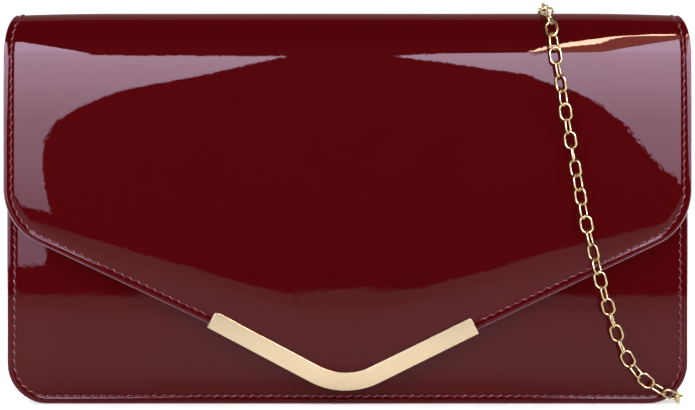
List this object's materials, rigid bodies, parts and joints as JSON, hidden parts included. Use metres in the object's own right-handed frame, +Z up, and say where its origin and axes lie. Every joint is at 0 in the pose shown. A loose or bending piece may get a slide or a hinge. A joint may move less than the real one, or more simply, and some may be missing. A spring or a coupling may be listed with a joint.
{
  "type": "clutch purse",
  "caption": "Wine patent envelope clutch with a pointed magnetic flap, gold V edge trim, gold chain strap and zipped inner pocket.",
  "frame": {"origin": "centre of the bag's box at its base, chain left out", "axes": "+Z up the standing bag, -Y out of the flap's face, +X to the right seen from the front"},
  "size_m": [0.277, 0.0639, 0.1591],
  "materials": {
    "patent": "high gloss wine",
    "gold": "pale champagne gold plate",
    "chain": "polished light gold",
    "board": "plain",
    "lining": "fine woven",
    "tape": "zip tape and coil",
    "magnet": "bare"
  },
  "bodies": {
    "shell": {"back_panel": "patent", "back_board": "board", "back_lining": "lining", "back_facing": "lining", "gusset_left": "patent", "gusset_right": "patent", "gusset_lining_left": "lining", "gusset_lining_right": "lining", "gusset_base": "patent", "base_board": "board", "base_lining": "lining", "tab_left": "patent", "tab_right": "patent", "pocket_bag": "lining", "zip_tape_upper": "tape", "zip_tape_lower": "tape", "zip_coil_upper": "tape", "zip_coil_lower": "tape", "zip_stop_left": "gold", "zip_stop_right": "gold", "chain_back": "chain", "chain_front": "chain", "chain_riser": "chain", "chain_end_left": "chain", "chain_end_right": "chain", "chain_tie": "tape"},
    "fold_rear": {"fold_skin_back": "patent", "fold_lining_back": "lining"},
    "fold_fore": {"fold_skin_front": "patent", "fold_lining_front": "lining"},
    "flap": {"flap_skin": "patent", "flap_board": "board", "flap_lining": "lining", "vee_trim": "gold", "trim_screw_1": "gold", "trim_screw_2": "gold", "trim_screw_3": "gold", "snap_stud": "gold", "snap_stud_washer": "gold"},
    "front": {"front_panel": "patent", "front_board": "board", "front_lining": "lining", "snap_socket": "gold", "snap_magnet": "magnet", "snap_socket_washer": "gold"},
    "ring_left": {"d_ring_left": "gold"},
    "ring_right": {"d_ring_right": "gold"},
    "slider": {"zip_slider": "gold"},
    "pull": {"zip_pull": "gold"}
  },
  "joints": [
    {"name": "fold_rear_hinge", "type": "hinge", "parent": "shell", "child": "fold_rear", "pos_m": [0, 0.01502, 0.14642], "axis": [-1, 0, 0], "range_deg": [0, 60]},
    {"name": "fold_fore_hinge", "type": "hinge", "parent": "fold_rear", "child": "fold_fore", "pos_m": [0, 0.0006, 0.15475], "axis": [-1, 0, 0], "range_deg": [0, 60]},
    {"name": "flap_hinge", "type": "hinge", "parent": "fold_fore", "child": "flap", "pos_m": [0, -0.01382, 0.14642], "axis": [-1, 0, 0], "range_deg": [0, 60], "deforming": ["chain_front"]},
    {"name": "front_tilt", "type": "hinge", "parent": "shell", "child": "front", "pos_m": [0, -0.0094, 0], "axis": [1, 0, 0], "range_deg": [0, 12], "deforming": ["gusset_left", "gusset_right", "gusset_lining_left", "gusset_lining_right"]},
    {"name": "ring_left_swing", "type": "hinge", "parent": "shell", "child": "ring_left", "pos_m": [-0.1278, 0.00355, 0.1135], "axis": [0, 1, 0], "range_deg": [0, 35], "deforming": ["chain_end_left"]},
    {"name": "ring_right_swing", "type": "hinge", "parent": "shell", "child": "ring_right", "pos_m": [0.1278, 0.00355, 0.1135], "axis": [0, -1, 0], "range_deg": [0, 35], "deforming": ["chain_end_right"]},
    {"name": "zip_slide", "type": "slide", "parent": "shell", "child": "slider", "axis": [1, 0, 0], "range_m": [0, 0.142]},
    {"name": "zip_pull_swing", "type": "hinge", "parent": "slider", "child": "pull", "pos_m": [-0.071, 0.007, 0.1], "axis": [0, 0, -1], "range_deg": [0, 45]}
  ],
  "couplings": [
    {"joint": "fold_rear_hinge", "follows": "flap_hinge", "ratio": 1},
    {"joint": "fold_fore_hinge", "follows": "flap_hinge", "ratio": 1},
    {"joint": "front_tilt", "follows": "flap_hinge", "ratio": 0.2}
  ]
}
